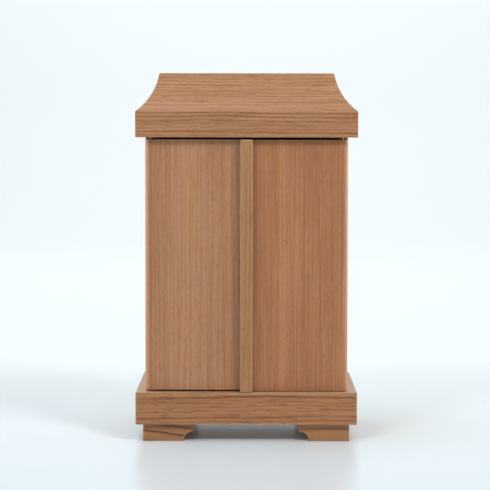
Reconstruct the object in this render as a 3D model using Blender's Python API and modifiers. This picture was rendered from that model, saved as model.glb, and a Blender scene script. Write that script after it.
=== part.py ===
"""Household altar cabinet of bare wood.

A block roof with concave slopes and a base board overhang a hollow body of two side panels and a back
panel. Two leaf doors turn on short metal pins at their outer edges, and a cover strip on the right leaf
hides the joint between them. The cabinet stands on two moulded runners.

Metres, +Z up. The front faces -Y and +X is on the viewer's right. The origin is on the ground under
the middle of the cabinet.
"""

import math

import bmesh
import bpy
from mathutils import Matrix, Vector

# Roof and base, seen from above
WIDTH = 0.240
DEPTH = 0.180

# Heights, from the ground up
RUNNER_HEIGHT = 0.0185
BASE_THICKNESS = 0.035
OPENING_HEIGHT = 0.276
FASCIA_HEIGHT = 0.028
SLOPE_RISE = 0.0415

# Roof slope: how far it steps in, and how deep its curve is hollowed below the straight line
SLOPE_INSET = 0.025
SLOPE_HOLLOW = 0.0046
SLOPE_STEPS = 20

# Runners
RUNNER_WIDTH = 0.0555
RUNNER_SIDE_SETBACK = 0.008
RUNNER_END_SETBACK = 0.006
COVE_RADIUS = 0.0105
COVE_LEDGE = 0.0012
COVE_STEPS = 14

# Body: how far roof and base stand out past it, and its panels
OVERHANG = 0.010
SIDE_PANEL_THICKNESS = 0.012
BACK_PANEL_THICKNESS = 0.009

# Doors. The right leaf carries the strip and hangs a little lower than the left one
DOOR_THICKNESS = 0.012
LEAF_TOP_GAP = {"left": 0.0021, "right": 0.0024}
LEAF_BOTTOM_GAP = {"left": 0.0016, "right": 0.0004}
LEAF_GAP = 0.0010
DOOR_BACK_GAP = 0.0008
ROUND_EDGE_STEPS = 20

# Cover strip on the joint of the doors
STRIP_WIDTH = 0.0137
STRIP_BOTTOM_GAP = 0.0005
STRIP_TOP_GAP = 0.0023

# Pivot pins, and how far each end goes into the wood
PIN_RADIUS = 0.00125
PIN_DEPTH = 0.009
PIN_SIDES = 24

# Gaps and softened edges
SEAT_GAP = 0.0003
ARRIS = 0.0006
ARRIS_SEGMENTS = 2
ARRIS_ANGLE = math.radians(40)

# Levels and planes that follow from the sizes above
BASE_BOTTOM_Z = RUNNER_HEIGHT + SEAT_GAP
BASE_TOP_Z = BASE_BOTTOM_Z + BASE_THICKNESS
ROOF_BOTTOM_Z = BASE_TOP_Z + OPENING_HEIGHT
BODY_HALF_WIDTH = WIDTH / 2 - OVERHANG
BODY_FRONT_Y = -DEPTH / 2 + OVERHANG
BODY_BACK_Y = DEPTH / 2 - OVERHANG
DOOR_BACK_Y = BODY_FRONT_Y + DOOR_THICKNESS
HINGE_X = BODY_HALF_WIDTH - DOOR_THICKNESS / 2
HINGE_Y = BODY_FRONT_Y + DOOR_THICKNESS / 2


def clear_scene():
    """Removes every object that the scene starts with."""
    for obj in list(bpy.data.objects):
        bpy.data.objects.remove(obj, do_unlink=True)


def new_collection(name):
    """A collection of that name, in the scene."""
    collection = bpy.data.collections.new(name)
    bpy.context.scene.collection.children.link(collection)
    return collection


def make_material(name, colour, roughness, metallic=0.0):
    """A plain Principled material."""
    material = bpy.data.materials.new(name)
    material.use_nodes = True
    shader = material.node_tree.nodes["Principled BSDF"]
    shader.inputs["Base Color"].default_value = (*colour, 1.0)
    shader.inputs["Roughness"].default_value = roughness
    shader.inputs["Metallic"].default_value = metallic
    return material


def object_from_bmesh(name, mesh_data, collection, material=None):
    """Writes a bmesh to a new object in the collection, and frees the bmesh."""
    mesh = bpy.data.meshes.new(name)
    mesh_data.to_mesh(mesh)
    mesh_data.free()
    obj = bpy.data.objects.new(name, mesh)
    collection.objects.link(obj)
    if material:
        mesh.materials.append(material)
    return obj


def box_bmesh(low, high):
    """A box between two corners."""
    low, high = Vector(low), Vector(high)
    size = high - low
    place = Matrix.Translation((low + high) / 2) @ Matrix.Diagonal((*size, 1.0))
    mesh_data = bmesh.new()
    bmesh.ops.create_cube(mesh_data, size=1.0, matrix=place)
    return mesh_data


def soften_edges(obj):
    """Rounds the edges of a wooden piece a little, as sandpaper does."""
    bevel = obj.modifiers.new("softened_edges", "BEVEL")
    bevel.width = ARRIS
    bevel.segments = ARRIS_SEGMENTS
    bevel.limit_method = "ANGLE"
    bevel.angle_limit = ARRIS_ANGLE
    return obj


def make_board(name, low, high, collection, material):
    """A rectangular board between two corners, with softened edges."""
    return soften_edges(object_from_bmesh(name, box_bmesh(low, high), collection, material))


def outline_mesh(name, points, thickness, collection, material):
    """A flat closed outline given thickness, as a mesh object. The outline lies in XY and the
    thickness runs along Z, half to each side."""
    curve = bpy.data.curves.new(name + "_outline", "CURVE")
    curve.dimensions = "2D"
    curve.fill_mode = "BOTH"
    curve.extrude = thickness / 2
    spline = curve.splines.new("POLY")
    spline.points.add(len(points) - 1)
    for place, (x, y) in zip(spline.points, points):
        place.co = (x, y, 0.0, 1.0)
    spline.use_cyclic_u = True
    guide = bpy.data.objects.new(name + "_outline", curve)
    collection.objects.link(guide)
    graph = bpy.context.evaluated_depsgraph_get()
    mesh = bpy.data.meshes.new_from_object(guide.evaluated_get(graph))
    bpy.data.objects.remove(guide, do_unlink=True)
    mesh_data = bmesh.new()
    mesh_data.from_mesh(mesh)
    bpy.data.meshes.remove(mesh)
    bmesh.ops.remove_doubles(mesh_data, verts=mesh_data.verts, dist=1e-6)
    flat = [e for e in mesh_data.edges if len(e.link_faces) == 2 and e.calc_face_angle() < 1e-4]
    bmesh.ops.dissolve_edges(mesh_data, edges=flat)
    bmesh.ops.recalc_face_normals(mesh_data, faces=mesh_data.faces)
    return object_from_bmesh(name, mesh_data, collection, material)


def arc_points(centre, radius, start, end, steps):
    """Points along an arc, from the start angle to the end angle, both in radians."""
    points = []
    for step in range(steps + 1):
        angle = start + (end - start) * step / steps
        points.append((centre[0] + radius * math.cos(angle), centre[1] + radius * math.sin(angle)))
    return points


def slope_profile():
    """(inset, rise) of the roof slope at each step, from the eave to the flat top. The curve is a
    circle's arc through both ends, hollowed inwards by SLOPE_HOLLOW at its middle."""
    chord = math.hypot(SLOPE_INSET, SLOPE_RISE)
    radius = chord ** 2 / (8 * SLOPE_HOLLOW) + SLOPE_HOLLOW / 2
    along = Vector((SLOPE_INSET, SLOPE_RISE)) / chord
    outward = Vector((-along.y, along.x))
    centre = Vector((SLOPE_INSET, SLOPE_RISE)) / 2 + outward * (radius - SLOPE_HOLLOW)
    half_turn = math.asin(chord / 2 / radius)
    middle = math.atan2(-outward.y, -outward.x)
    return arc_points(centre, radius, middle - half_turn, middle + half_turn, SLOPE_STEPS)


def make_roof(collection, material):
    """The roof block: a square fascia, then slopes that step in evenly on all four sides."""
    fascia_top = ROOF_BOTTOM_Z + FASCIA_HEIGHT
    mesh_data = box_bmesh((-WIDTH / 2, -DEPTH / 2, ROOF_BOTTOM_Z), (WIDTH / 2, DEPTH / 2, fascia_top))
    top = max(mesh_data.faces, key=lambda face: face.calc_center_median().z)
    profile = slope_profile()
    for (inset, rise), (next_inset, next_rise) in zip(profile, profile[1:]):
        bmesh.ops.inset_region(
            mesh_data, faces=[top], use_even_offset=True, thickness=next_inset - inset,
            depth=next_rise - rise,
        )
    return object_from_bmesh("roof", mesh_data, collection, material)


def runner_outline(side):
    """The runner's cross-section as (x, height) points. Side is -1 on the left and 1 on the right."""
    outer = WIDTH / 2 - RUNNER_SIDE_SETBACK
    inner = outer - RUNNER_WIDTH
    cove_centre = (inner + COVE_LEDGE, 0.0)
    cove = arc_points(cove_centre, COVE_RADIUS, 0.0, math.pi / 2, COVE_STEPS)
    points = [(outer, RUNNER_HEIGHT), (outer, 0.0), *cove, (inner, COVE_RADIUS), (inner, RUNNER_HEIGHT)]
    return [(side * x, height) for x, height in points]


def make_runner(name, side, collection, material):
    """A runner foot from front to back, coved along its inner lower edge."""
    length = DEPTH - 2 * RUNNER_END_SETBACK
    runner = outline_mesh(name, runner_outline(side), length, collection, material)
    runner.rotation_euler = (math.pi / 2, 0.0, 0.0)
    return soften_edges(runner)


def make_leaf(name, side, low_z, high_z, hinge, collection, material):
    """A door leaf between two heights. Its own origin is on the pin axis, and its outer edge is round
    about that axis."""
    half = DOOR_THICKNESS / 2
    free_edge = HINGE_X - LEAF_GAP / 2
    round_edge = arc_points((0.0, 0.0), half, -math.pi / 2, math.pi / 2, ROUND_EDGE_STEPS)
    points = [(side * x, y) for x, y in [*round_edge, (-free_edge, half), (-free_edge, -half)]]
    leaf = outline_mesh(name, points, high_z - low_z, collection, material)
    leaf.parent = hinge
    leaf.location = (0.0, 0.0, (low_z + high_z) / 2)
    return soften_edges(leaf)


def make_hinge(name, side, collection):
    """An empty on a door's pin axis, at ground level."""
    hinge = bpy.data.objects.new(name, None)
    hinge.location = (side * HINGE_X, HINGE_Y, 0.0)
    collection.objects.link(hinge)
    return hinge


def make_strip(hinge, collection, material):
    """The cover strip: it lies on the right leaf and laps over the left one."""
    low = Vector((-STRIP_WIDTH / 2, -DEPTH / 2, BASE_TOP_Z + STRIP_BOTTOM_GAP))
    high = Vector((STRIP_WIDTH / 2, BODY_FRONT_Y - SEAT_GAP, ROOF_BOTTOM_Z - STRIP_TOP_GAP))
    strip = make_board("meeting_strip", low - hinge.location, high - hinge.location, collection, material)
    strip.parent = hinge
    return strip


def cylinder_bmesh(side, low_z, high_z, radius):
    """An upright cylinder on the pin axis of one side, between two heights."""
    place = Matrix.Translation((side * HINGE_X, HINGE_Y, (low_z + high_z) / 2))
    mesh_data = bmesh.new()
    bmesh.ops.create_cone(
        mesh_data, cap_ends=True, segments=PIN_SIDES, radius1=radius, radius2=radius,
        depth=high_z - low_z, matrix=place,
    )
    return mesh_data


def make_pin(name, side, low_z, high_z, collection, material):
    """A pivot pin, with one end in the door and the other in the roof or the base."""
    pin = object_from_bmesh(name, cylinder_bmesh(side, low_z, high_z, PIN_RADIUS), collection, material)
    pin.data.shade_smooth()
    pin.data.set_sharp_from_angle(angle=ARRIS_ANGLE)
    return pin


def make_bore(name, side, low_z, high_z, cutters, targets):
    """Bores the hole that a pin stands in, through the target pieces."""
    hole = cylinder_bmesh(side, low_z - SEAT_GAP, high_z + SEAT_GAP, PIN_RADIUS + SEAT_GAP)
    cutter = object_from_bmesh(name, hole, cutters)
    cutter.hide_render = True
    cutter.display_type = "WIRE"
    for target in targets:
        cut = target.modifiers.new(name, "BOOLEAN")
        cut.operation = "DIFFERENCE"
        cut.solver = "EXACT"
        cut.object = cutter


def build():
    """Builds the cabinet from the ground up."""
    clear_scene()
    cabinet = new_collection("household_altar_cabinet")
    cutters = new_collection("cutters")

    roof_wood = make_material("roof_wood", (0.40, 0.22, 0.12), 0.62)
    base_wood = make_material("base_wood", (0.32, 0.16, 0.08), 0.62)
    runner_wood = make_material("runner_wood", (0.30, 0.16, 0.08), 0.65)
    panel_wood = make_material("panel_wood", (0.36, 0.19, 0.10), 0.62)
    door_wood = make_material("door_wood", (0.42, 0.23, 0.12), 0.60)
    strip_wood = make_material("strip_wood", (0.38, 0.20, 0.10), 0.60)
    pin_brass = make_material("pin_brass", (0.72, 0.58, 0.36), 0.35, metallic=1.0)

    roof = soften_edges(make_roof(cabinet, roof_wood))
    base = make_board(
        "base_board", (-WIDTH / 2, -DEPTH / 2, BASE_BOTTOM_Z), (WIDTH / 2, DEPTH / 2, BASE_TOP_Z),
        cabinet, base_wood,
    )
    panel_bottom = BASE_TOP_Z + SEAT_GAP
    panel_top = ROOF_BOTTOM_Z - SEAT_GAP
    inner_x = BODY_HALF_WIDTH - SIDE_PANEL_THICKNESS
    make_board(
        "back_panel",
        (-inner_x + SEAT_GAP, BODY_BACK_Y - BACK_PANEL_THICKNESS, panel_bottom),
        (inner_x - SEAT_GAP, BODY_BACK_Y, panel_top),
        cabinet, panel_wood,
    )

    for word, side in (("left", -1), ("right", 1)):
        make_runner("runner_" + word, side, cabinet, runner_wood)
        near, far = sorted((side * inner_x, side * BODY_HALF_WIDTH))
        make_board(
            "side_panel_" + word,
            (near, DOOR_BACK_Y + DOOR_BACK_GAP, panel_bottom), (far, BODY_BACK_Y, panel_top),
            cabinet, panel_wood,
        )
        hinge = make_hinge("hinge_" + word, side, cabinet)
        leaf_bottom = BASE_TOP_Z + LEAF_BOTTOM_GAP[word]
        leaf_top = ROOF_BOTTOM_Z - LEAF_TOP_GAP[word]
        leaf = make_leaf("door_" + word, side, leaf_bottom, leaf_top, hinge, cabinet, door_wood)
        if side == 1:
            make_strip(hinge, cabinet, strip_wood)
        for end, gap_low_z, gap_high_z, frame_piece in (
            ("bottom", BASE_TOP_Z, leaf_bottom, base),
            ("top", leaf_top, ROOF_BOTTOM_Z, roof),
        ):
            name = f"pivot_pin_{word}_{end}"
            low_z = gap_low_z - PIN_DEPTH
            high_z = gap_high_z + PIN_DEPTH
            make_pin(name, side, low_z, high_z, cabinet, pin_brass)
            make_bore(name + "_bore", side, low_z, high_z, cutters, (leaf, frame_piece))


build()
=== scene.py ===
"""Looks of the household altar cabinet: bare wood, dull brass pins, a pale floor and soft light.

Metres, +Z up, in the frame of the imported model. The doors face -Y and +X is on the viewer's right.
Each piece is shaped on the bench as a Workpiece, dressed in its own cut of timber, and handed to the
body that it moves with.
"""

import logging
import math
from collections.abc import Iterable, Mapping, Sequence
from dataclasses import dataclass, field
from enum import Enum

import bmesh
import bpy
from bmesh.types import BMEdge, BMFace, BMVert
from mathutils import Matrix, Quaternion, Vector


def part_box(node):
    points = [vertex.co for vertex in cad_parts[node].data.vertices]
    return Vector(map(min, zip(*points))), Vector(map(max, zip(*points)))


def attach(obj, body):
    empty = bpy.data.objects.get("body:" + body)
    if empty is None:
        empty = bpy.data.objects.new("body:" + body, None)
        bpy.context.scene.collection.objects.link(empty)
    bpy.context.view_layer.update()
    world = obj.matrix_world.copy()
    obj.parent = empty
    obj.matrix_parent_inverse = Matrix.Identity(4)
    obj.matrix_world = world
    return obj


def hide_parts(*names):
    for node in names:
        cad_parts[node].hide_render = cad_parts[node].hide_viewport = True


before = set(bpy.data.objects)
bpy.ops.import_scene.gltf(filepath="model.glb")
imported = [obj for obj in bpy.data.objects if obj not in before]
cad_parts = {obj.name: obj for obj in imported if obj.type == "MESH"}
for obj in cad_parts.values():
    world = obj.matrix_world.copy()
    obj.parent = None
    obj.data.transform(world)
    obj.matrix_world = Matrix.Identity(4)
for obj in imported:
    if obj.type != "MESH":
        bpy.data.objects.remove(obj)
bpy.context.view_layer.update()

CARCASS = "carcass"

log = logging.getLogger("altar_cabinet")

Colour = tuple[float, float, float]
Triple = tuple[float, float, float]
Span = tuple[float, float]
Socket = bpy.types.NodeSocket
Sockets = bpy.types.bpy_prop_collection


class Side(Enum):
    """A side of the cabinet as the viewer sees it, and its way along X."""

    LEFT = -1.0
    RIGHT = 1.0

    @property
    def word(self) -> str:
        """The side's word in the names of nodes."""
        return self.name.lower()

    @property
    def leaf_body(self) -> str:
        """The body of the door leaf on this side."""
        return self.word + "_leaf"


class Grain(Enum):
    """The way the fibres of a piece run, and the turn that lays them along Z in the timber's frame."""

    SIDEWAYS = (0.0, -math.pi / 2, 0.0)
    FRONT_TO_BACK = (math.pi / 2, 0.0, 0.0)
    UPRIGHT = (0.0, 0.0, 0.0)

    @property
    def direction(self) -> Triple:
        """The fibres' direction in the cabinet's frame."""
        return {
            Grain.SIDEWAYS: (1.0, 0.0, 0.0),
            Grain.FRONT_TO_BACK: (0.0, 1.0, 0.0),
            Grain.UPRIGHT: (0.0, 0.0, 1.0),
        }[self]


def new_object(name: str, data: bpy.types.ID) -> bpy.types.Object:
    """A new object in the scene, at the origin.

    Args:
        name: the object's name.
        data: its mesh, light or camera.

    Returns:
        The object.
    """
    made = bpy.data.objects.new(name, data)
    bpy.context.scene.collection.objects.link(made)
    return made


def aim(thing: bpy.types.Object, place: Triple, target: Triple, roll: float = 0.0) -> None:
    """Sets up a light or a camera so that it looks at a point.

    Args:
        thing: the light or the camera.
        place: where it stands.
        target: the point that it looks at.
        roll: its turn about the line of sight.
    """
    level = (Vector(target) - Vector(place)).to_track_quat("-Z", "Y")
    thing.location = place
    thing.rotation_mode = "QUATERNION"
    thing.rotation_quaternion = level @ Quaternion((0.0, 0.0, 1.0), roll)


def of_kind(kind: type, geometry: Iterable[object]) -> list:
    """The elements of one kind, such as the vertices, among mixed geometry."""
    return [item for item in geometry if isinstance(item, kind)]


def numbers(*labels: str) -> dict[str, str]:
    """A group's sockets for plain numbers."""
    return dict.fromkeys(labels, "Float")


@dataclass(frozen=True)
class Blotches:
    """How a noise looks: its blotches to a metre each way, its finer layers and how strong they are."""

    pitch: Triple
    layers: float = 2.0
    strength: float = 0.5


class Wiring:
    """Places shader nodes in one tree and links them."""

    COLUMN = 190.0

    def __init__(self, tree: bpy.types.NodeTree) -> None:
        """Keeps the tree that the nodes go in."""
        self.tree = tree

    def node(
        self, kind: str, inputs: Mapping[str | int, object] | None = None, **settings: object
    ) -> bpy.types.Node:
        """Adds a node, with its settings and inputs.

        Args:
            kind: the node's type name, such as ShaderNodeMath.
            inputs: what each input socket gets, another node's socket or a plain value.
            settings: the node's own properties.

        Returns:
            The new node.
        """
        made = self.tree.nodes.new(kind)
        made.location.x = self.COLUMN * len(self.tree.nodes)
        for name, value in settings.items():
            setattr(made, name, value)
        self.feed(made, inputs or {})
        return made

    def feed(self, made: bpy.types.Node, inputs: Mapping[str | int, object]) -> None:
        """Gives a node's inputs their sockets or plain values, and makes colours opaque.

        Args:
            made: the node.
            inputs: what each input gets.
        """
        for key, value in inputs.items():
            taker = made.inputs[key]
            if isinstance(value, Socket):
                self.tree.links.new(value, taker)
            elif taker.type == "RGBA":
                taker.default_value = (*value, 1.0)
            else:
                taker.default_value = value

    def maths(self, operation: str, *values: object, clamp: bool = False) -> Socket:
        """The result of a Math node, kept within 0 and 1 if clamp is set."""
        inputs = dict(enumerate(values))
        return self.node("ShaderNodeMath", inputs, operation=operation, use_clamp=clamp).outputs[0]

    def vectors(self, operation: str, *values: object, output: str = "Vector") -> Socket:
        """The result of a Vector Math node, read from its output Vector or Value."""
        inputs = dict(enumerate(values))
        return self.node("ShaderNodeVectorMath", inputs, operation=operation).outputs[output]

    def ramp(
        self, value: object, low: float, high: float, start: float = 0.0, end: float = 1.0
    ) -> Socket:
        """A value that eases from start to end as the input goes from low to high."""
        inputs = {"Value": value, "From Min": low, "From Max": high, "To Min": start, "To Max": end}
        return self.node("ShaderNodeMapRange", inputs, interpolation_type="SMOOTHSTEP").outputs["Result"]

    def noise(self, place: Socket, look: Blotches) -> Socket:
        """A smooth noise of about 0 to 1, in blotches.

        Args:
            place: the coordinates.
            look: the size and the fineness of the blotches.

        Returns:
            The noise's socket.
        """
        spaced = self.vectors("MULTIPLY", place, look.pitch)
        inputs = {"Vector": spaced, "Scale": 1.0, "Detail": look.layers, "Roughness": look.strength}
        return self.node("ShaderNodeTexNoise", inputs).outputs[0]

    def noise_along(self, distance: Socket, layers: float = 1.0) -> Socket:
        """A smooth noise of about 0 to 1 along one line, where one unit of distance is one blotch."""
        inputs = {"W": distance, "Scale": 1.0, "Detail": layers, "Roughness": 0.5}
        return self.node("ShaderNodeTexNoise", inputs, noise_dimensions="1D").outputs[0]

    def swing(self, noise: Socket, depth: object, base: object = 0.0) -> Socket:
        """A base value that a noise of about 0 to 1 moves up and down, by depth from end to end."""
        return self.maths("MULTIPLY_ADD", self.maths("SUBTRACT", noise, 0.5), depth, base)

    def gather(self, base: object, *changes: tuple[Socket, float]) -> Socket:
        """A base value to which each mask adds its own change.

        Args:
            base: the value where every mask is 0.
            changes: each mask with what it adds where it is 1.

        Returns:
            The value's socket.
        """
        for mask, change in changes:
            base = self.maths("MULTIPLY_ADD", mask, change, base)
        return base

    def blend(self, share: object, first: object, second: object, way: str = "MIX") -> Socket:
        """A colour between two colours, with the share that the second one has."""
        inputs = {0: share, 6: first, 7: second}
        return self.node("ShaderNodeMix", inputs, data_type="RGBA", blend_type=way).outputs[2]


class ShaderGroup:
    """A shader group that several finishes share, wired once, when it is first used."""

    NAME = ""
    INPUTS: dict[str, str] = {}
    OUTPUTS: dict[str, str] = {}

    @classmethod
    def use(cls, wiring: Wiring, inputs: Mapping[str, object]) -> Sockets:
        """Adds the group to a tree, with what its inputs get, and gives its outputs."""
        tree = bpy.data.node_groups.get(cls.NAME) or cls.build()
        return wiring.node("ShaderNodeGroup", inputs, node_tree=tree).outputs

    @classmethod
    def build(cls) -> bpy.types.NodeTree:
        """Makes the group, with its sockets and its inner nodes.

        Returns:
            The group's node tree.
        """
        tree = bpy.data.node_groups.new(cls.NAME, "ShaderNodeTree")
        for direction, sockets in (("INPUT", cls.INPUTS), ("OUTPUT", cls.OUTPUTS)):
            for label, kind in sockets.items():
                tree.interface.new_socket(label, in_out=direction, socket_type="NodeSocket" + kind)
        wiring = Wiring(tree)
        given = wiring.node("NodeGroupInput").outputs
        wiring.node("NodeGroupOutput", cls.wire(wiring, given))
        return tree

    @classmethod
    def wire(cls, wiring: Wiring, given: Sockets) -> dict[str, Socket]:
        """Wires the inner nodes from the group's inputs, and gives what each of its outputs gets."""
        raise NotImplementedError


class GrowthRings(ShaderGroup):
    """Growth rings round a pith, uneven in width, that waver along the fibres.

    Late Line is the dark line that ends a ring, Ring Tone the ring's own tone and Through Ring how far
    a point is through its ring.
    """

    NAME = "growth_rings"
    INPUTS = {"Place": "Vector", "Pith": "Vector"} | numbers(
        "Ring Width", "Line Share", "Faintest Line", "Waver", "Seed",
    )
    OUTPUTS = numbers("Late Line", "Ring Tone", "Through Ring")

    SLOW_SWAY = Blotches((12.0, 12.0, 4.5), layers=1.5)
    QUICK_SWAY = Blotches((85.0, 85.0, 20.0))
    QUICK_SHARE = 0.2
    YEARS_PITCH = 0.31
    YEARS_SPREAD = 1.3
    TONE_PITCH = 0.7
    LINE_DARKEST = 0.92
    BREAKS = Blotches((7.3, 14.0, 0.0), strength=0.6)
    BREAK_SPAN: Span = (0.34, 0.62)

    @classmethod
    def wire(cls, wiring: Wiring, given: Sockets) -> dict[str, Socket]:
        """Wires the rings: a wavering distance from the pith, cut into years."""
        place, seed = given["Place"], given["Seed"]
        from_pith = wiring.vectors("SUBTRACT", place, given["Pith"])
        level = wiring.vectors("MULTIPLY", from_pith, (1.0, 1.0, 0.0))
        radius = wiring.vectors("LENGTH", level, output="Value")

        offset = wiring.node("ShaderNodeCombineXYZ", {0: seed, 1: seed}).outputs[0]
        seeded = wiring.vectors("ADD", place, offset)
        sway = wiring.swing(wiring.noise(seeded, cls.SLOW_SWAY), 1.0)
        sway = wiring.swing(wiring.noise(seeded, cls.QUICK_SWAY), cls.QUICK_SHARE, sway)
        wavering = wiring.maths("MULTIPLY_ADD", sway, given["Waver"], radius)

        even = wiring.maths("DIVIDE", wavering, given["Ring Width"])
        years = wiring.noise_along(wiring.maths("MULTIPLY_ADD", even, cls.YEARS_PITCH, seed))
        uneven = wiring.maths("MULTIPLY_ADD", years, cls.YEARS_SPREAD, even)
        through = wiring.maths("FRACT", uneven)
        ring = wiring.maths("ADD", wiring.maths("FLOOR", uneven), seed)

        begin = wiring.maths("SUBTRACT", cls.LINE_DARKEST, given["Line Share"])
        rise = wiring.ramp(through, begin, cls.LINE_DARKEST)
        fall = wiring.ramp(through, cls.LINE_DARKEST, 1.0, 1.0, 0.0)
        chance = wiring.node("ShaderNodeTexWhiteNoise", {"W": ring}, noise_dimensions="1D").outputs["Value"]
        strength = wiring.ramp(chance, 0.0, 1.0, given["Faintest Line"], 1.0)
        along = wiring.node("ShaderNodeSeparateXYZ", {0: place}).outputs[2]
        ring_and_way = wiring.node("ShaderNodeCombineXYZ", {0: ring, 1: along}).outputs[0]
        breaks = wiring.noise(ring_and_way, cls.BREAKS)
        whole = wiring.ramp(breaks, *cls.BREAK_SPAN, given["Faintest Line"], 1.0)
        strength = wiring.maths("MULTIPLY", strength, whole)
        line = wiring.maths("MULTIPLY", wiring.maths("MULTIPLY", rise, fall), strength)
        tone = wiring.noise_along(wiring.maths("MULTIPLY_ADD", uneven, cls.TONE_PITCH, seed))
        return {"Late Line": line, "Ring Tone": tone, "Through Ring": through}


class Fibres(ShaderGroup):
    """Fibre streaks, short dashes and open pores, all stretched along the fibres, as masks of 0 to 1."""

    NAME = "fibres"
    INPUTS = {"Place": "Vector"} | numbers("Through Ring", "Seed")
    OUTPUTS = numbers("Streaks", "Dashes", "Pores")

    STREAKS = Blotches((680.0, 680.0, 7.0), strength=0.6)
    DASHES = Blotches((850.0, 850.0, 70.0), layers=1.0)
    DASH_SPAN: Span = (0.52, 0.74)
    PORE_PITCH: Triple = (1000.0, 1000.0, 150.0)
    PORE_RIM: Span = (0.14, 0.32)
    OPEN_PART: Span = (0.15, 0.75)
    LATE_PORES = 0.35

    @classmethod
    def wire(cls, wiring: Wiring, given: Sockets) -> dict[str, Socket]:
        """Wires the three masks. The pores are open in the early part of each ring."""
        seed = given["Seed"]
        offset = wiring.node("ShaderNodeCombineXYZ", {0: seed, 2: seed}).outputs[0]
        place = wiring.vectors("ADD", given["Place"], offset)
        streaks = wiring.noise(place, cls.STREAKS)
        dashes = wiring.ramp(wiring.noise(place, cls.DASHES), *cls.DASH_SPAN)
        spaced = wiring.vectors("MULTIPLY", place, cls.PORE_PITCH)
        cells = wiring.node("ShaderNodeTexVoronoi", {"Vector": spaced, "Scale": 1.0}).outputs["Distance"]
        early = wiring.ramp(given["Through Ring"], *cls.OPEN_PART, 1.0, cls.LATE_PORES)
        pores = wiring.maths("MULTIPLY", wiring.ramp(cells, *cls.PORE_RIM, 1.0, 0.0), early)
        return {"Streaks": streaks, "Dashes": dashes, "Pores": pores}


class SoftBand(ShaderGroup):
    """A band of lighter or darker wood that runs with the fibres, with soft wavering sides."""

    NAME = "soft_band"
    INPUTS = {"Place": "Vector", "Across": "Vector"} | numbers("Centre", "Half Width", "Strength")
    OUTPUTS = numbers("Tone")

    WAVERING = Blotches((60.0, 60.0, 9.0))
    WAVER = 0.006
    SOFT_SIDE: Span = (0.3, 1.2)

    @classmethod
    def wire(cls, wiring: Wiring, given: Sockets) -> dict[str, Socket]:
        """Wires the band's tone, from its distance to the band's middle line."""
        across = wiring.vectors("DOT_PRODUCT", given["Place"], given["Across"], output="Value")
        off = wiring.maths("SUBTRACT", across, given["Centre"])
        off = wiring.swing(wiring.noise(given["Place"], cls.WAVERING), cls.WAVER, off)
        share = wiring.maths("DIVIDE", wiring.maths("ABSOLUTE", off), given["Half Width"])
        tone = wiring.maths("MULTIPLY", wiring.ramp(share, *cls.SOFT_SIDE, 1.0, 0.0), given["Strength"])
        return {"Tone": tone}


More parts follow.
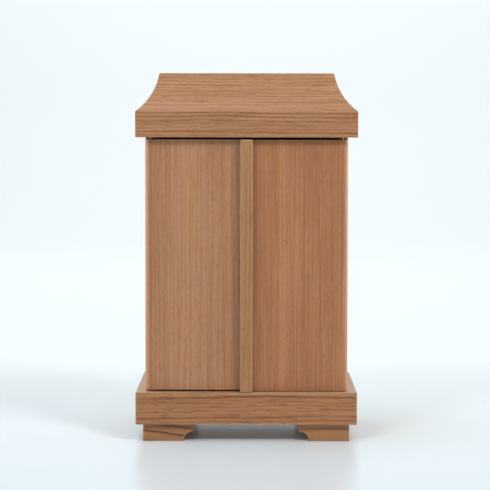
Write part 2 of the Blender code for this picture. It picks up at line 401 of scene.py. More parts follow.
class Timber(ShaderGroup):
    """A solid cut of timber, from its growth rings down to its pores.

    Cut names the inputs that a wood finish has fields for. Tone Shift moves the tone, which runs from 0
    for early wood to 1 for late wood. The wear input lightens the rounded edges towards bare wood, partly
    as wear and partly as a painted highlight where the edges catch the light. Height is in metres.
    for early wood to 1 for late wood. Height is in metres.
    """

    NAME = "timber"
    CUT: dict[str, str] = dict.fromkeys(("Early", "Late", "Line", "Tint"), "Color") | numbers(
        "Ring Width", "Line Share", "Faintest Line", "Waver", "Seed", "Ring Depth", "Cloud Depth",
        "Streak Depth", "Line Depth", "Dash Depth", "Pore Depth", "Tint Depth", "End Depth", "Wear Depth",
        "Roughness",
    )
    INPUTS = {"Place": "Vector", "Pith": "Vector"} | CUT | numbers("Tone Shift", "End Grain", "Wear")
    OUTPUTS = {"Colour": "Color"} | numbers("Roughness", "Height")

    CLOUDS = Blotches((30.0, 30.0, 7.0))
    TINTS = Blotches((75.0, 75.0, 26.0), strength=0.6)
    TINT_SPAN: Span = (0.36, 0.64)
    WORN = Blotches((160.0, 160.0, 60.0), layers=3.0, strength=0.6)
    WORN_SPAN: Span = (0.3, 0.62)
    LEAST_WORN = 0.35
    END_CALM = 0.7
    # Bare wood on the rounded edges: partly real wear, partly a painted highlight.
    BARE_EDGE_HIGHLIGHT: Colour = (0.62, 0.44, 0.28)
    HOLLOW: Colour = (0.0, 0.0, 0.0)
    HOLLOW_SHARE = 0.5
    STREAK_ROUGH = 0.12
    PORE_ROUGH = 0.12
    END_ROUGH = 0.10
    STREAK_HEIGHT = 0.00003
    LINE_HEIGHT = 0.00002
    DASH_HEIGHT = -0.00002
    PORE_HEIGHT = -0.00006

    @classmethod
    def wire(cls, wiring: Wiring, given: Sockets) -> dict[str, Socket]:
        """Wires the timber: rings and fibres first, then its colour, its roughness and its height."""
        rings = GrowthRings.use(wiring, {label: given[label] for label in GrowthRings.INPUTS})
        fibres = Fibres.use(wiring, {
            "Place": given["Place"], "Through Ring": rings["Through Ring"], "Seed": given["Seed"],
        })
        calm = wiring.maths("MULTIPLY_ADD", given["End Grain"], -cls.END_CALM, 1.0)
        streaks = wiring.maths("MULTIPLY", wiring.maths("SUBTRACT", fibres["Streaks"], 0.5), calm)
        dashes = wiring.maths("MULTIPLY", fibres["Dashes"], calm)
        pores = wiring.maths("MULTIPLY", fibres["Pores"], calm)

        patches = wiring.ramp(wiring.noise(given["Place"], cls.WORN), *cls.WORN_SPAN, cls.LEAST_WORN)
        layers = (
            (rings["Late Line"], "Line Depth", given["Line"]),
            (dashes, "Dash Depth", given["Line"]),
            (pores, "Pore Depth", wiring.blend(cls.HOLLOW_SHARE, given["Line"], cls.HOLLOW)),
            (given["End Grain"], "End Depth", given["Line"]),
            # Rounded edges lightened in patches: partly real wear, partly a painted highlight.
            (wiring.maths("MULTIPLY", given["Wear"], patches), "Wear Depth", cls.BARE_EDGE_HIGHLIGHT),
        )
        colour = cls.body_colour(wiring, given, rings, streaks)
        for mask, depth, laid_on in layers:
            colour = wiring.blend(wiring.maths("MULTIPLY", mask, given[depth]), colour, laid_on)

        rough = wiring.gather(
            given["Roughness"], (streaks, cls.STREAK_ROUGH), (pores, cls.PORE_ROUGH),
            (given["End Grain"], cls.END_ROUGH),
        )
        height = wiring.gather(
            0.0, (pores, cls.PORE_HEIGHT), (dashes, cls.DASH_HEIGHT), (streaks, cls.STREAK_HEIGHT),
            (rings["Late Line"], cls.LINE_HEIGHT),
        )
        return {"Colour": colour, "Roughness": rough, "Height": height}

    @classmethod
    def body_colour(cls, wiring: Wiring, given: Sockets, rings: Sockets, streaks: Socket) -> Socket:
        """The colour of the wood between its lines.

        Args:
            wiring: the wiring of the group's tree.
            given: the group's inputs.
            rings: the outputs of the growth rings.
            streaks: the fibre streaks, about 0.

        Returns:
            The colour's socket.
        """
        tone = wiring.maths("ADD", given["Tone Shift"], 0.5)
        tone = wiring.swing(wiring.noise(given["Place"], cls.CLOUDS), given["Cloud Depth"], tone)
        tone = wiring.swing(rings["Ring Tone"], given["Ring Depth"], tone)
        tone = wiring.maths("MULTIPLY_ADD", streaks, given["Streak Depth"], tone, clamp=True)
        colour = wiring.blend(tone, given["Early"], given["Late"])
        tinted = wiring.ramp(wiring.noise(given["Place"], cls.TINTS), *cls.TINT_SPAN)
        tinted = wiring.maths("MULTIPLY", tinted, given["Tint Depth"])
        return wiring.blend(tinted, colour, given["Tint"], "MULTIPLY")


class TurnedMetal(ShaderGroup):
    """Fine turning lines round Z, with dull patches of tarnish. Height is in metres."""

    NAME = "turned_metal"
    INPUTS = {"Place": "Vector"} | numbers("Roughness")
    OUTPUTS = numbers("Tarnish", "Roughness", "Height")

    LINE_PITCH = 6000.0
    LINE_ROUGH = 0.1
    LINE_HEIGHT = 0.00001
    LINE_LAYERS = 2.0
    PATCHES = Blotches((500.0, 500.0, 500.0), layers=3.0, strength=0.6)
    PATCH_SPAN: Span = (0.42, 0.68)
    PATCH_ROUGH = 0.25

    @classmethod
    def wire(cls, wiring: Wiring, given: Sockets) -> dict[str, Socket]:
        """Wires the turning lines and the tarnish."""
        up = wiring.node("ShaderNodeSeparateXYZ", {0: given["Place"]}).outputs[2]
        lines = wiring.noise_along(wiring.maths("MULTIPLY", up, cls.LINE_PITCH), cls.LINE_LAYERS)
        tarnish = wiring.ramp(wiring.noise(given["Place"], cls.PATCHES), *cls.PATCH_SPAN)
        rough = wiring.gather(given["Roughness"], (tarnish, cls.PATCH_ROUGH), (lines, cls.LINE_ROUGH))
        height = wiring.maths("MULTIPLY", lines, cls.LINE_HEIGHT)
        return {"Tarnish": tarnish, "Roughness": rough, "Height": height}


def new_material(name: str) -> tuple[bpy.types.Material, Wiring, bpy.types.Node]:
    """A material with a Principled shader.

    Args:
        name: the material's name.

    Returns:
        The material, the wiring of its nodes and its shader.
    """
    material = bpy.data.materials.new(name)
    material.use_nodes = True
    return material, Wiring(material.node_tree), material.node_tree.nodes["Principled BSDF"]


@dataclass(frozen=True)
class ToneBand:
    """A band across one board: where its middle is, how wide it is, and how much darker.

    Centre is measured along the finish's across axis, and a strength below 0 makes the band lighter.
    """

    centre: float
    half_width: float
    strength: float


@dataclass(frozen=True)
class WoodFinish:
    """Bare planed hardwood: how one piece was cut from the log, and its colours.

    Pith is the middle of the growth rings in the timber's own frame, whose Z runs along the fibres.
    Each depth is how much one kind of figure shows.
    """

    grain: Grain
    pith: tuple[float, float]
    early: Colour
    late: Colour
    line: Colour
    tint: Colour = (1.0, 1.06, 1.22)
    ring_width: float = 0.003
    line_share: float = 0.35
    faintest_line: float = 0.25
    waver: float = 0.004
    ring_depth: float = 0.6
    cloud_depth: float = 0.6
    streak_depth: float = 2.0
    line_depth: float = 0.5
    dash_depth: float = 0.25
    pore_depth: float = 0.4
    tint_depth: float = 0.7
    end_depth: float = 0.1
    # How far the rounded edges lighten: partly wear, partly a painted highlight.
    wear_depth: float = 0.2
    roughness: float = 0.46
    ior: float = 1.5
    polish: float = 0.06
    polish_roughness: float = 0.3
    sheen: float = 0.0
    sheen_roughness: float = 0.35
    sheen_tint: Colour = (1.0, 0.78, 0.55)
    relief: float = 0.8
    seed: float = 0.0
    across: Triple = (1.0, 0.0, 0.0)
    bands: tuple[ToneBand, ...] = ()

    END_GRAIN_SPAN = (0.25, 0.95)

    def timber_place(self, wiring: Wiring, coordinates: Socket) -> Socket:
        """The coordinates in the timber's own frame, where the fibres run along Z."""
        turned = {"Vector": coordinates, "Rotation": self.grain.value}
        return wiring.node("ShaderNodeMapping", turned).outputs[0]

    def tone_shift(self, wiring: Wiring, place: Socket) -> Socket | float:
        """The summed tone of the board's bands.

        Args:
            wiring: the wiring of the material.
            place: the coordinates in the cabinet's frame.

        Returns:
            The sum, or plain 0 for a board without bands.
        """
        total: Socket | float = 0.0
        for band in self.bands:
            tone = SoftBand.use(wiring, {
                "Place": place, "Across": self.across, "Centre": band.centre,
                "Half Width": band.half_width, "Strength": band.strength,
            })["Tone"]
            total = wiring.maths("ADD", total, tone)
        return total

    def material(self, name: str) -> bpy.types.Material:
        """The finish as a material.

        Args:
            name: the material's name.

        Returns:
            The material.
        """
        material, wiring, shader = new_material(name)
        coordinates = wiring.node("ShaderNodeTexCoord").outputs
        facing = wiring.vectors("DOT_PRODUCT", coordinates["Normal"], self.grain.direction, output="Value")
        end_grain = wiring.ramp(wiring.maths("ABSOLUTE", facing), *self.END_GRAIN_SPAN)
        # The mark near rounded edges, read for wear and for a painted highlight.
        wear = wiring.node("ShaderNodeAttribute", attribute_name=Workpiece.WEAR).outputs["Fac"]
        own = {label: getattr(self, label.lower().replace(" ", "_")) for label in Timber.CUT}
        timber = Timber.use(wiring, own | {
            "Place": self.timber_place(wiring, coordinates["Object"]), "Pith": (*self.pith, 0.0),
            "Tone Shift": self.tone_shift(wiring, coordinates["Object"]), "End Grain": end_grain,
            "Wear": wear,
        })
        relief = {"Height": timber["Height"], "Distance": 1.0, "Strength": self.relief}
        wiring.feed(shader, {
            "Base Color": timber["Colour"], "Roughness": timber["Roughness"], "IOR": self.ior,
            "Coat Weight": self.polish, "Coat Roughness": self.polish_roughness,
            "Sheen Weight": self.sheen, "Sheen Roughness": self.sheen_roughness,
            "Sheen Tint": self.sheen_tint,
            "Normal": wiring.node("ShaderNodeBump", relief).outputs["Normal"],
        })
        return material


@dataclass(frozen=True)
class BrassFinish:
    """Dull turned brass."""

    bright: Colour = (0.80, 0.62, 0.34)
    dull: Colour = (0.38, 0.27, 0.14)
    roughness: float = 0.3

    def material(self, name: str) -> bpy.types.Material:
        """The finish as a material.

        Args:
            name: the material's name.

        Returns:
            The material.
        """
        material, wiring, shader = new_material(name)
        place = wiring.node("ShaderNodeTexCoord").outputs["Object"]
        metal = TurnedMetal.use(wiring, {"Place": place, "Roughness": self.roughness})
        relief = {"Height": metal["Height"], "Distance": 1.0}
        wiring.feed(shader, {
            "Base Color": wiring.blend(metal["Tarnish"], self.bright, self.dull),
            "Metallic": 1.0, "Roughness": metal["Roughness"],
            "Normal": wiring.node("ShaderNodeBump", relief).outputs["Normal"],
        })
        return material


@dataclass(frozen=True)
class SweepFinish:
    """Pale half-glossy board, painted darker near the viewer as shade, that glows softly far aside and in
    front.
    """

    near: Colour = (0.735, 0.795, 0.84)
    far: Colour = (0.96, 1.0, 1.0)
    near_y: float = -0.6
    far_y: float = 0.7
    roughness: float = 0.28
    ior: float = 1.28
    glow: Colour = (0.95, 1.0, 1.0)
    near_glow: float = 0.015
    far_glow: float = 0.54
    glow_from: float = 1.5
    glow_full: float = 4.6

    def material(self, name: str) -> bpy.types.Material:
        """The finish as a material.

        Args:
            name: the material's name.

        Returns:
            The material.
        """
        material, wiring, shader = new_material(name)
        place = wiring.node("ShaderNodeTexCoord").outputs["Object"]
        parts = wiring.node("ShaderNodeSeparateXYZ", {0: place}).outputs
        # Painted shade: the board's colour darkens towards the viewer.
        share = wiring.ramp(parts[1], self.near_y, self.far_y)
        colour = wiring.blend(share, self.near, self.far)
        sideways = wiring.maths("ABSOLUTE", parts[0])
        forwards = wiring.maths("MULTIPLY", parts[1], -1.0)
        aside = wiring.maths("MAXIMUM", sideways, forwards)
        glow = wiring.ramp(aside, self.glow_from, self.glow_full, self.near_glow, self.far_glow)
        wiring.feed(shader, {
            "Base Color": colour, "Roughness": self.roughness, "IOR": self.ior,
            "Emission Color": self.glow, "Emission Strength": glow,
        })
        return material


@dataclass(frozen=True)
class Arc:
    """Part of a circle: where it starts, what it turns about, how far and in how many steps."""

    start: Vector
    centre: Vector
    axis: Vector
    angle: float
    steps: int


@dataclass
class Workpiece:
    """One piece on the bench, from raw block to finished object.

    Node is the CAD node that it stands for and body is what it moves with. Slot is the record's
    material slot; it is not used.
    """

    # The mark near rounded edges: partly wear, partly a painted highlight.
    WEAR = "wear"
    SHARP = math.radians(38.0)
    LEVEL = 0.999
    TOUCHING = 0.00001
    DRILL_ROOM = 1.25

    name: str
    node: str
    body: str
    slot: str
    shape: bmesh.types.BMesh = field(default_factory=bmesh.new)

    def block(self, low: Vector, high: Vector) -> None:
        """Starts from a rectangular block between two corners."""
        place = Matrix.Translation((low + high) / 2) @ Matrix.Diagonal((*(high - low), 1.0))
        bmesh.ops.create_cube(self.shape, size=1.0, matrix=place)

    def moulding(self, arc: Arc, corners: Sequence[Vector], run: Vector) -> None:
        """Starts from a moulded length: an outline of one arc and straight lines, drawn out along a run.

        Args:
            arc: the round part of the outline.
            corners: the corners that follow the arc, in order, back to its start.
            run: the way and the length that the outline is drawn out.
        """
        first = self.shape.verts.new(arc.start)
        swept = bmesh.ops.spin(
            self.shape, geom=[first], cent=arc.centre, axis=arc.axis, dvec=(0.0, 0.0, 0.0),
            angle=arc.angle, steps=arc.steps, use_merge=False,
        )
        tip = of_kind(BMVert, swept["geom_last"])[0]
        for corner in corners:
            tip = bmesh.ops.extrude_vert_indiv(self.shape, verts=[tip])["verts"][0]
            tip.co = corner
        bmesh.ops.contextual_create(self.shape, geom=[tip, first])
        section = bmesh.ops.contextual_create(self.shape, geom=list(self.shape.edges))["faces"]
        drawn = bmesh.ops.extrude_face_region(self.shape, geom=section)["geom"]
        bmesh.ops.translate(self.shape, verts=of_kind(BMVert, drawn), vec=run)
        bmesh.ops.recalc_face_normals(self.shape, faces=self.shape.faces)

    def round_off(self, width: float, segments: int) -> list[BMFace]:
        """Rounds every sharp edge.

        Args:
            width: how far the rounding reaches in from the edge.
            segments: how many facets it has.

        Returns:
            The facets.
        """
        sharp = [edge for edge in self.shape.edges if edge.calc_face_angle(0.0) > self.SHARP]
        return bmesh.ops.bevel(
            self.shape, geom=sharp, offset=width, offset_type="OFFSET", segments=segments, profile=0.5,
            affect="EDGES", clamp_overlap=True, material=-1,
        )["faces"]

    def ease_arrises(self, width: float, segments: int = 3, wear_reach: float = 0.0025) -> None:
        """Rounds every sharp edge, and marks how near the surface is to one, for wear and for a painted
        highlight.

        Args:
            width: how far the rounding reaches in from the edge.
            segments: how many facets it has.
            wear_reach: how far in from the rounding the mark of wear and of the painted highlight fades
                out.
        """
        wear = self.shape.verts.layers.float.new(self.WEAR)
        rounded = set(self.round_off(width, segments))
        broad = [face for face in self.shape.faces if face not in rounded]
        bmesh.ops.inset_region(
            self.shape, faces=broad, thickness=wear_reach, use_even_offset=True, use_boundary=True,
        )
        for vert in self.shape.verts:
            vert[wear] = 1.0
        for face in broad:
            for vert in face.verts:
                vert[wear] = 0.0

    def flat_face_at(self, point: Vector) -> BMFace:
        """The level face that a point lies on.

        Args:
            point: the point.

        Returns:
            The face.
        """
        level = (face for face in self.shape.faces if abs(face.normal.z) > self.LEVEL)
        near = (face for face in level if abs(face.calc_center_median().z - point.z) < self.TOUCHING)
        return next(face for face in near if bmesh.geometry.intersect_face_point(face, point))

    def drill(self, mouth: Vector, radius: float, depth: float, sides: int = 24) -> None:
        """Drills a blind hole straight up or down.

        Args:
            mouth: the middle of the hole on the surface.
            radius: the hole's radius.
            depth: how deep it is, upwards if above 0 and downwards if below.
            sides: how many sides the hole has.
        """
        margin = radius * self.DRILL_ROOM
        for axis in (Vector((1.0, 0.0, 0.0)), Vector((0.0, 1.0, 0.0))):
            for way in (-margin, margin):
                face = self.flat_face_at(mouth)
                bmesh.ops.bisect_plane(
                    self.shape, geom=[face, *face.edges, *face.verts], plane_co=mouth + axis * way,
                    plane_no=axis,
                )
        patch = self.flat_face_at(mouth)
        rim = list(patch.edges)
        bmesh.ops.delete(self.shape, geom=[patch], context="FACES_ONLY")
        ring = bmesh.ops.create_circle(
            self.shape, cap_ends=False, radius=radius, segments=sides, matrix=Matrix.Translation(mouth),
        )["verts"]
        circle = list({edge for vert in ring for edge in vert.link_edges})
        bmesh.ops.bridge_loops(self.shape, edges=rim + circle)
        grown = bmesh.ops.extrude_edge_only(self.shape, edges=circle)["geom"]
        bmesh.ops.translate(self.shape, verts=of_kind(BMVert, grown), vec=(0.0, 0.0, depth))
        bmesh.ops.holes_fill(self.shape, edges=of_kind(BMEdge, grown), sides=0)

    def deliver(self, material: bpy.types.Material) -> bpy.types.Object:
        """Turns the shape into the finished object, in place of its CAD node.

        Args:
            material: the piece's finish.

        Returns:
            The finished object.
        """
        bmesh.ops.recalc_face_normals(self.shape, faces=self.shape.faces)
        mesh = bpy.data.meshes.new(self.name)
        self.shape.to_mesh(mesh)
        self.shape.free()
        mesh.materials.append(material)
        mesh.shade_smooth()
        mesh.set_sharp_from_angle(angle=self.SHARP)
        piece = new_object(self.name, mesh)
        piece.modifiers.new("even_shading", "WEIGHTED_NORMAL").keep_sharp = True
        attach(piece, self.body)
        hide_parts(self.node)
        log.info("%s: %d faces, rides on %s", self.name, len(mesh.polygons), self.body)
        return piece


@dataclass(frozen=True)
class PivotFit:
    """The pins that the doors turn on, and the bores that they stand in."""

    radius: float = 0.00125
    clearance: float = 0.0003
    end_chamfer: float = 0.0003

    def bore_into(self, piece: Workpiece, face_z: float, end: str, side: Side) -> None:
        """Drills a piece for one pin.

        Args:
            piece: the piece that is drilled.
            face_z: the level of the face that the pin enters by.
            end: top or bottom, the end of the door that the pin is at.
            side: the side of the cabinet.
        """
        low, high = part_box(f"pivot_pin_{side.word}_{end}")
        middle = (low + high) / 2
        mouth = Vector((middle.x, middle.y, face_z))
        reach = high.z - face_z if face_z > middle.z else low.z - face_z
        piece.drill(mouth, self.radius + self.clearance, reach + math.copysign(self.clearance, reach))


PIVOTS = PivotFit()


@dataclass
class RoofBlock:
    """The roof: a square fascia, and four concave slopes that meet at mitred hips under a flat top."""

    finish: WoodFinish
    fascia_height: float = 0.028
    slope_inset: float = 0.025
    slope_hollow: float = 0.0046
    slope_steps: int = 20
    arris: float = 0.0006

    def slope_profile(self, rise: float) -> list[tuple[float, float]]:
        """Inset and rise of the slope at each step, on a circle's arc hollowed below the straight line.

        Args:
            rise: the height from the eave to the flat top.

        Returns:
            The steps, from the eave up.
        """
        chord = Vector((self.slope_inset, rise))
        radius = chord.length_squared / (8 * self.slope_hollow) + self.slope_hollow / 2
        outward = Vector((-chord.y, chord.x)).normalized()
        centre = chord / 2 + outward * (radius - self.slope_hollow)
        half_turn = math.asin(chord.length / 2 / radius)
        steps = []
        for step in range(self.slope_steps + 1):
            spoke = outward * -radius
            spoke.rotate(Matrix.Rotation(half_turn * (2 * step / self.slope_steps - 1), 2))
            steps.append(tuple(centre + spoke))
        return steps

    def build(self) -> bpy.types.Object:
        """Shapes the roof block and dresses it.

        Returns:
            The finished roof.
        """
        low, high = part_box("roof")
        eave_z = low.z + self.fascia_height
        piece = Workpiece("roof_block", "roof", CARCASS, "roof_wood")
        piece.block(low, Vector((high.x, high.y, eave_z)))
        top = max(piece.shape.faces, key=lambda face: face.calc_center_median().z)
        profile = self.slope_profile(high.z - eave_z)
        for (inset, rise), (next_inset, next_rise) in zip(profile, profile[1:]):
            bmesh.ops.inset_region(
                piece.shape, faces=[top], use_even_offset=True, thickness=next_inset - inset,
                depth=next_rise - rise,
            )
        piece.ease_arrises(self.arris)
        for side in Side:
            PIVOTS.bore_into(piece, low.z, "top", side)
        return self.dress(piece)

    def dress(self, piece: Workpiece) -> bpy.types.Object:
        """Gives the roof its timber."""
        return piece.deliver(self.finish.material("roof_timber"))


@dataclass
class BaseBoard:
    """The thick plain board under the doors."""

    finish: WoodFinish
    arris: float = 0.0006

    def build(self) -> bpy.types.Object:
        """Shapes the base board and dresses it.

        Returns:
            The finished base board.
        """
        low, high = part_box("base_board")
        piece = Workpiece("base_plank", "base_board", CARCASS, "base_wood")
        piece.block(low, high)
        piece.ease_arrises(self.arris)
        for side in Side:
            PIVOTS.bore_into(piece, high.z, "bottom", side)
        return self.dress(piece)

    def dress(self, piece: Workpiece) -> bpy.types.Object:
        """Gives the base board its timber."""
        return piece.deliver(self.finish.material("base_timber"))


@dataclass
class RunnerFeet:
    """The two runners that the cabinet stands on, coved along their inner lower edges."""

    finishes: dict[Side, WoodFinish]
    cove_radius: float = 0.0105
    cove_ledge: float = 0.0012
    cove_steps: int = 16
    arris: float = 0.0006
    wear_reach: float = 0.0018

    def build(self) -> list[bpy.types.Object]:
        """Shapes both runners and dresses them."""
        return [self.dress(self.shape_runner(side), side) for side in Side]

    def shape_runner(self, side: Side) -> Workpiece:
        """Shapes one runner.

        Args:
            side: the side of the cabinet that it is on.

        Returns:
            The runner on the bench.
        """
        way = side.value
        low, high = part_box("runner_" + side.word)
        outer, inner = (high.x, low.x) if way > 0 else (low.x, high.x)
        centre = Vector((inner + way * self.cove_ledge, low.y, low.z))
        arc = Arc(
            start=centre + Vector((way * self.cove_radius, 0.0, 0.0)), centre=centre,
            axis=Vector((0.0, -way, 0.0)), angle=math.pi / 2, steps=self.cove_steps,
        )
        corners = [
            Vector((inner, low.y, low.z + self.cove_radius)), Vector((inner, low.y, high.z)),
            Vector((outer, low.y, high.z)), Vector((outer, low.y, low.z)),
        ]
        piece = Workpiece("foot_" + side.word, "runner_" + side.word, CARCASS, "runner_wood")
        piece.moulding(arc, corners, Vector((0.0, high.y - low.y, 0.0)))
        piece.ease_arrises(self.arris, wear_reach=self.wear_reach)
        return piece

    def dress(self, piece: Workpiece, side: Side) -> bpy.types.Object:
        """Gives a runner its timber."""
        return piece.deliver(self.finishes[side].material("foot_timber_" + side.word))


@dataclass
class CarcassPanels:
    """The side panels and the back panel, between base board and roof."""

    side_finish: dict[Side, WoodFinish]
    back_finish: WoodFinish
    arris: float = 0.0006

    def build(self) -> list[bpy.types.Object]:
        """Shapes the three panels and dresses them.

        Returns:
            The finished panels.
        """
        walls = [
            self.dress(self.shape_panel("side_wall_" + side.word, "side_panel_" + side.word), finish)
            for side, finish in self.side_finish.items()
        ]
        return [*walls, self.dress(self.shape_panel("back_wall", "back_panel"), self.back_finish)]

    def shape_panel(self, name: str, node: str) -> Workpiece:
        """Shapes one flat panel with eased arrises.

        Args:
            name: the panel's name.
            node: the CAD node that it stands for.

        Returns:
            The panel on the bench.
        """
        piece = Workpiece(name, node, CARCASS, "panel_wood")
        piece.block(*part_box(node))
        piece.ease_arrises(self.arris)
        return piece

    def dress(self, piece: Workpiece, finish: WoodFinish) -> bpy.types.Object:
        """Gives a panel its timber."""
        return piece.deliver(finish.material(piece.name + "_timber"))


@dataclass
class DoorLeaves:
    """The two door leaves, each round about its pins along the outer edge."""

    finishes: dict[Side, WoodFinish]
    round_steps: int = 24
    arris: float = 0.0006
    wear_reach: float = 0.0015

    def build(self) -> list[bpy.types.Object]:
        """Shapes both leaves and dresses them."""
        return [self.dress(self.shape_leaf(side), side) for side in Side]

    def shape_leaf(self, side: Side) -> Workpiece:
        """Shapes one leaf.

        Args:
            side: the side of the cabinet that it is on.

        Returns:
            The leaf on the bench.
        """
        way = side.value
        low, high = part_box("door_" + side.word)
        outer, free = (high.x, low.x) if way > 0 else (low.x, high.x)
        half = (high.y - low.y) / 2
        hinge = Vector((outer - way * half, low.y + half, low.z))
        arc = Arc(
            start=hinge + Vector((0.0, -half, 0.0)), centre=hinge, axis=Vector((0.0, 0.0, way)),
            angle=math.pi, steps=self.round_steps,
        )
        corners = [Vector((free, high.y, low.z)), Vector((free, low.y, low.z))]
        piece = Workpiece("leaf_" + side.word, "door_" + side.word, side.leaf_body, "door_wood")
        piece.moulding(arc, corners, Vector((0.0, 0.0, high.z - low.z)))
        piece.ease_arrises(self.arris, wear_reach=self.wear_reach)
        PIVOTS.bore_into(piece, low.z, "bottom", side)
        PIVOTS.bore_into(piece, high.z, "top", side)
        return piece

    def dress(self, piece: Workpiece, side: Side) -> bpy.types.Object:
        """Gives a leaf its timber."""
        return piece.deliver(self.finishes[side].material("leaf_timber_" + side.word))


@dataclass
class CoverStrip:
    """The strip on the right leaf that covers the joint between the leaves."""

    finish: WoodFinish
    arris: float = 0.0006
    wear_reach: float = 0.0015

    def build(self) -> bpy.types.Object:
        """Shapes the strip and dresses it.

        Returns:
            The finished strip.
        """
        piece = Workpiece("cover_strip", "meeting_strip", Side.RIGHT.leaf_body, "strip_wood")
        piece.block(*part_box("meeting_strip"))
        piece.ease_arrises(self.arris, wear_reach=self.wear_reach)
        return self.dress(piece)

    def dress(self, piece: Workpiece) -> bpy.types.Object:
        """Gives the strip its timber."""
        return piece.deliver(self.finish.material("strip_timber"))


@dataclass
class PivotPins:
    """The four short metal pins that the leaves turn on, the bottom ones painted dark as the shade they sit
    in.
    """

    finishes: dict[str, BrassFinish] = field(default_factory=lambda: {
        "top": BrassFinish(),
        # Painted shade: the bottom pins are dark to stand for the shade in the gap under the leaves.
        "bottom": BrassFinish(bright=(0.20, 0.13, 0.07), dull=(0.08, 0.05, 0.03), roughness=0.6),
    })
    sides: int = 32
    chamfer_facets: int = 2

    def build(self) -> list[bpy.types.Object]:
        """Turns the four pins and dresses them.

        Returns:
            The finished pins.
        """
        pins = []
        for end, finish in self.finishes.items():
            metal = finish.material("pin_metal_" + end)
            pins += [self.dress(self.turn_pin(side, end), metal) for side in Side]
        return pins

    def turn_pin(self, side: Side, end: str) -> Workpiece:
        """Turns one pin, with chamfered ends.

        Args:
            side: the side of the cabinet that it is on.
            end: top or bottom, the end of the door that it is at.

        Returns:
            The pin on the bench.
        """
        node = f"pivot_pin_{side.word}_{end}"
        low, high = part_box(node)
        piece = Workpiece(f"pin_{side.word}_{end}", node, CARCASS, "pin_brass")
        bmesh.ops.create_cone(
            piece.shape, cap_ends=True, segments=self.sides, radius1=PIVOTS.radius, radius2=PIVOTS.radius,
            depth=high.z - low.z, matrix=Matrix.Translation((low + high) / 2),
        )
        piece.round_off(PIVOTS.end_chamfer, self.chamfer_facets)
        return piece

    def dress(self, piece: Workpiece, metal: bpy.types.Material) -> bpy.types.Object:
        """Gives a pin its metal."""
        return piece.deliver(metal)


@dataclass(frozen=True)
class PhotoView:
    """The photograph's point of view: a long lens almost level with the eaves, straight in front."""

    eye: Triple = (0.0060, -2.247, 0.348)
    middle: Triple = (-0.0016, -0.090, 0.2351)
    lens_mm: float = 147.2
    sensor_mm: float = 36.0
    shift: float = -0.04
    roll: float = math.radians(0.094)

    def camera(self) -> bpy.types.Object:
        """Sets up the camera.

        Returns:
            The scene's camera.
        """
        data = bpy.data.cameras.new("photo_camera")
        data.lens = self.lens_mm
        data.sensor_width = self.sensor_mm
        data.shift_y = self.shift
        camera = new_object("photo_camera", data)
        aim(camera, self.eye, self.middle, self.roll)
        bpy.context.scene.camera = camera
        return camera


class Reach(Enum):
    """What a light falls on."""

    EVERYTHING = "everything"
    CABINET = "cabinet"
    LEAVES = "leaves"


@dataclass(frozen=True)
class SoftBox:
    """A square area light that looks at a point, the middle of the cabinet unless another is given."""

    name: str
    place: Triple
    side: float
    watts: float
    target: Triple = (0.0, 0.0, 0.2)
    colour: Colour = (1.0, 1.0, 1.0)
    reach: Reach = Reach.EVERYTHING
    mirrored: bool = True

    def build(self, floor: bpy.types.Object, leaves: Sequence[bpy.types.Object]) -> bpy.types.Object:
        """Hangs the light.

        Args:
            floor: what a light for the cabinet is kept off.
            leaves: what a light for the leaves is kept to.

        Returns:
            The light.
        """
        data = bpy.data.lights.new(self.name, "AREA")
        data.shape = "SQUARE"
        data.size = self.side
        data.energy = self.watts
        data.color = self.colour
        light = new_object(self.name, data)
        aim(light, self.place, self.target)
        light.visible_glossy = self.mirrored
        if self.reach is Reach.LEAVES:
            self.flag(light, leaves, "INCLUDE")
        elif self.reach is Reach.CABINET:
            self.flag(light, [floor], "EXCLUDE")
        log.info("%s: %.1f W", self.name, self.watts)
        return light

    def flag(self, light: bpy.types.Object, pieces: Sequence[bpy.types.Object], state: str) -> None:
        """Keeps the light to some pieces or off them.

        Args:
            light: the light.
            pieces: the pieces.
            state: INCLUDE or EXCLUDE.
        """
        flagged = bpy.data.collections.new(f"{self.name}_flag")
        for piece in pieces:
            flagged.objects.link(piece)
        light.light_linking.receiver_collection = flagged
        for member in flagged.collection_objects:
            member.light_linking.link_state = state


@dataclass
class Sweep:
    """The floor, which bends up into the backdrop in one piece."""

    finish: SweepFinish = field(default_factory=SweepFinish)
    half_width: float = 6.0
    front_y: float = -5.0
    bend_y: float = 3.2
    bend_radius: float = 1.5
    wall_height: float = 4.0
    bend_steps: int = 24

    def build(self) -> bpy.types.Object:
        """Lays the sweep: a front edge, drawn back, bent up and raised.

        Returns:
            The sweep.
        """
        shape = bmesh.new()
        front = [shape.verts.new((x, self.front_y, 0.0)) for x in (-self.half_width, self.half_width)]
        laid = bmesh.ops.extrude_edge_only(shape, edges=[shape.edges.new(front)])["geom"]
        far = of_kind(BMVert, laid)
        bmesh.ops.translate(shape, verts=far, vec=(0.0, self.bend_y - self.front_y, 0.0))
        bent = bmesh.ops.spin(
            shape, geom=far + of_kind(BMEdge, laid), cent=(0.0, self.bend_y, self.bend_radius),
            axis=(1.0, 0.0, 0.0), dvec=(0.0, 0.0, 0.0), angle=math.pi / 2, steps=self.bend_steps,
            use_merge=False,
        )["geom_last"]
        raised = bmesh.ops.extrude_edge_only(shape, edges=of_kind(BMEdge, bent))["geom"]
        bmesh.ops.translate(shape, verts=of_kind(BMVert, raised), vec=(0.0, 0.0, self.wall_height))
        bmesh.ops.recalc_face_normals(shape, faces=shape.faces)
        mesh = bpy.data.meshes.new("sweep")
        shape.to_mesh(mesh)
        shape.free()
        return self.dress(mesh)

    def dress(self, mesh: bpy.types.Mesh) -> bpy.types.Object:
        """Gives the sweep its finish and adds it to the scene.

        Args:
            mesh: the sweep's shape.

        Returns:
            The sweep.
        """
        mesh.shade_smooth()
        mesh.materials.append(self.finish.material("sweep_board"))
        sweep = new_object("sweep", mesh)
        return sweep


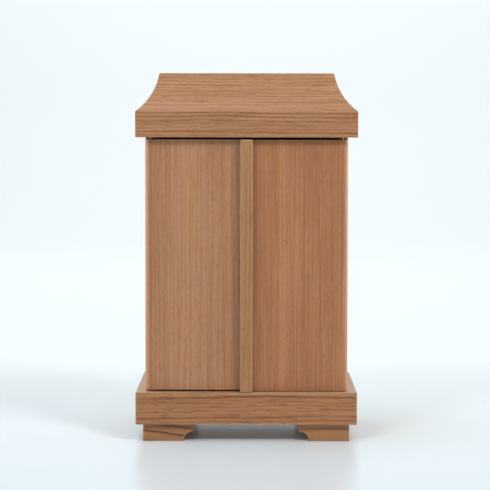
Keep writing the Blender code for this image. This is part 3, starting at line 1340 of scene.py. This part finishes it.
@dataclass
class Studio:
    """The pale sweep, the even sky, the soft boxes and the camera."""

    view: PhotoView = field(default_factory=PhotoView)
    sweep: Sweep = field(default_factory=Sweep)
    sky: Colour = (0.96, 0.93, 0.85)
    sky_strength: float = 0.33
    room: Colour = (0.84, 0.92, 0.95)
    room_strength: float = 1.0
    boxes: tuple[SoftBox, ...] = (
        SoftBox("right_key", (1.85, -2.35, 2.35), side=1.0, watts=56.0, colour=(0.97, 0.99, 1.0)),
        SoftBox("left_fill", (-1.35, -2.5, 2.3), side=0.85, watts=30.2, colour=(0.97, 0.99, 1.0)),
        SoftBox(
            "overhead", (-0.3, -0.1, 1.8), side=1.0, watts=10.0, target=(0.0, 0.0, 0.0),
            colour=(0.78, 0.96, 1.12),
        ),
        SoftBox("right_rim", (1.3, 0.1, 0.3), side=0.5, watts=6.0, reach=Reach.LEAVES),
        SoftBox("left_rim", (-1.3, 0.1, 0.3), side=0.5, watts=7.5, reach=Reach.LEAVES),
        SoftBox("right_side", (1.7, 0.2, 1.1), side=1.0, watts=18.0, reach=Reach.CABINET, mirrored=False),
        SoftBox("left_side", (-1.7, 0.2, 1.1), side=1.0, watts=18.0, reach=Reach.CABINET, mirrored=False),
        SoftBox(
            "backdrop_wash", (0.0, 1.6, 3.2), side=2.0, watts=68.0, target=(0.0, 4.5, 1.8),
            colour=(0.91, 0.955, 1.04),
        ),
    )

    def build(self, leaves: Sequence[bpy.types.Object]) -> None:
        """Sets up the sweep, the light and the camera.

        Args:
            leaves: the door leaves, for the lights that fall on nothing else.
        """
        floor = self.sweep.build()
        self.light_sky()
        for box in self.boxes:
            box.build(floor, leaves)
        self.view.camera()
        bpy.context.scene.view_settings.view_transform = "Standard"

    def light_sky(self) -> None:
        """Lights the cabinet evenly from all round, and shows the camera a pale room behind it."""
        world = bpy.data.worlds.new("white_room")
        world.use_nodes = True
        wiring = Wiring(world.node_tree)
        lit = world.node_tree.nodes["Background"]
        wiring.feed(lit, {"Color": self.sky, "Strength": self.sky_strength})
        seen = wiring.node("ShaderNodeBackground", {"Color": self.room, "Strength": self.room_strength})
        path = wiring.node("ShaderNodeLightPath")
        mixed = wiring.node("ShaderNodeMixShader", {
            0: path.outputs["Is Camera Ray"], 1: lit.outputs[0], 2: seen.outputs[0],
        })
        world.node_tree.links.new(mixed.outputs[0], world.node_tree.nodes["World Output"].inputs["Surface"])
        bpy.context.scene.world = world


@dataclass(frozen=True)
class WoodSet:
    """How each piece of wood was cut, and its colours."""

    roof: WoodFinish = WoodFinish(
        grain=Grain.SIDEWAYS, pith=(-1.1, 0.45), early=(0.478, 0.234, 0.099), late=(0.326, 0.136, 0.048),
        line=(0.15, 0.038, 0.003), ring_width=0.0034, line_share=0.34, waver=0.007, line_depth=1.0,
        dash_depth=0.4, tint_depth=0.3, seed=3.0, roughness=0.52, polish=0.0, wear_depth=0.04,
        across=(0.0, 0.0, 1.0), bands=(ToneBand(0.364, 0.013, 0.22),),
    )
    base: WoodFinish = WoodFinish(
        grain=Grain.SIDEWAYS, pith=(-0.85, 0.43), early=(0.458, 0.200, 0.070), late=(0.315, 0.117, 0.036),
        line=(0.10, 0.018, 0.001), ring_width=0.0044, line_share=0.32, faintest_line=0.35, waver=0.014,
        line_depth=1.0, dash_depth=0.45, seed=11.0, polish=0.35, sheen=0.4,
    )
    feet: dict[Side, WoodFinish] = field(default_factory=lambda: {
        Side.LEFT: WoodFinish(
            grain=Grain.FRONT_TO_BACK, pith=(-0.21, 0.78), early=(0.430, 0.200, 0.074),
            late=(0.301, 0.121, 0.042), line=(0.075, 0.016, 0.001), ring_width=0.0082, line_share=0.4,
            faintest_line=0.7, line_depth=1.0, dash_depth=0.5, seed=5.0,
        ),
        Side.RIGHT: WoodFinish(
            grain=Grain.FRONT_TO_BACK, pith=(0.09, 0.8), early=(0.487, 0.238, 0.091),
            late=(0.332, 0.144, 0.0505), line=(0.13, 0.032, 0.003), ring_width=0.0088, line_share=0.3,
            faintest_line=0.6, line_depth=0.9, dash_depth=0.4, seed=8.0,
        ),
    })
    side_walls: dict[Side, WoodFinish] = field(default_factory=lambda: {
        side: WoodFinish(
            grain=Grain.UPRIGHT, pith=(side.value * 0.6, -0.5), early=(0.435, 0.205, 0.088),
            late=(0.31, 0.13, 0.052), line=(0.14, 0.047, 0.017), ring_width=0.0035,
            seed=24.0 + 3.0 * side.value,
        )
        for side in Side
    })
    back_wall: WoodFinish = WoodFinish(
        grain=Grain.UPRIGHT, pith=(0.7, -0.5), early=(0.435, 0.205, 0.088), late=(0.31, 0.13, 0.052),
        line=(0.14, 0.047, 0.017), ring_width=0.0040, line_depth=0.6, seed=33.0,
    )
    leaves: dict[Side, WoodFinish] = field(default_factory=lambda: {
        Side.LEFT: WoodFinish(
            grain=Grain.UPRIGHT, pith=(-0.9, 0.10), early=(0.475, 0.228, 0.106), late=(0.330, 0.138, 0.055),
            line=(0.22, 0.070, 0.012), ring_width=0.0026, ring_depth=0.35, cloud_depth=0.5,
            line_depth=0.4, seed=14.0,
            bands=(
                ToneBand(-0.062, 0.026, -0.25), ToneBand(-0.106, 0.012, 0.1),
                ToneBand(-0.034, 0.0012, -0.4),
            ),
        ),
        Side.RIGHT: WoodFinish(
            grain=Grain.UPRIGHT, pith=(0.9, 0.10), early=(0.466, 0.203, 0.082), late=(0.332, 0.125, 0.045),
            line=(0.22, 0.060, 0.008), ring_width=0.0028, ring_depth=0.35, cloud_depth=0.5,
            line_depth=0.4, seed=17.0,
            bands=(
                ToneBand(0.039, 0.0035, -0.4), ToneBand(0.075, 0.02, 0.15), ToneBand(0.084, 0.001, -0.5),
            ),
        ),
    })
    strip: WoodFinish = WoodFinish(
        grain=Grain.UPRIGHT, pith=(-0.6, 0.05), early=(0.467, 0.221, 0.0915), late=(0.322, 0.133, 0.048),
        line=(0.20, 0.062, 0.008), ring_width=0.0022, waver=0.003, line_depth=1.0, seed=41.0,
    )


def main() -> None:
    """Builds the cabinet and the studio round it."""
    logging.basicConfig(level=logging.INFO, format="%(name)s: %(message)s")
    woods = WoodSet()
    RoofBlock(woods.roof).build()
    BaseBoard(woods.base).build()
    RunnerFeet(woods.feet).build()
    CarcassPanels(woods.side_walls, woods.back_wall).build()
    Studio().build(DoorLeaves(woods.leaves).build())
    CoverStrip(woods.strip).build()
    PivotPins().build()


if __name__ == "__main__":
    main()
